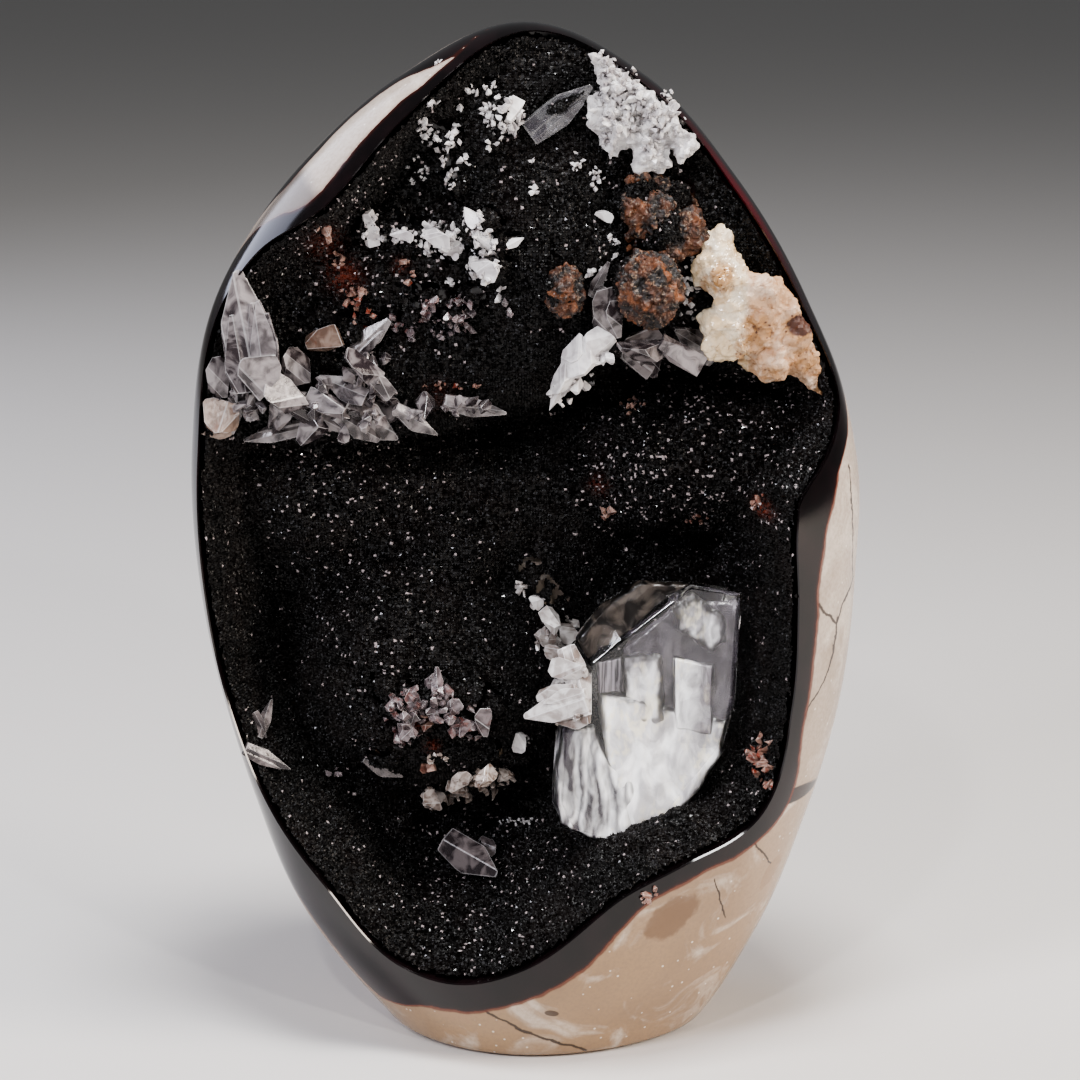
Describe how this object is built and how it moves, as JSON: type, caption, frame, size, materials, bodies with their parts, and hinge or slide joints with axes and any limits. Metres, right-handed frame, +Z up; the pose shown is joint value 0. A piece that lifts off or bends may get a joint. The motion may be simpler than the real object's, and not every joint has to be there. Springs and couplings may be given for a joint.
{
  "type": "septarian nodule",
  "caption": "Free-standing polished septarian nodule, open in front to a hollow lined with black druse and set with clear, white and cream calcite crystals",
  "frame": {"origin": "middle of the flat cut that the nodule stands on, below the middle of its box", "axes": "+Z up along its height, the hollow faces -Y, +X to the right as seen from the front"},
  "size_m": [0.1552, 0.0922, 0.2366],
  "materials": {
    "limestone": "polished",
    "black_druse": "sparkling",
    "clear_calcite": "clear",
    "bladed_calcite": "glassy",
    "cream_calcite": "satin",
    "white_calcite": "satin"
  },
  "bodies": {
    "root": {"nodule": "limestone", "druse_crust": "black_druse", "clear_crystal": "clear_calcite", "blade_cluster": "bladed_calcite", "cream_calcite": "cream_calcite", "bridge_crystals": "bladed_calcite", "white_crust": "white_calcite"}
  },
  "joints": []
}
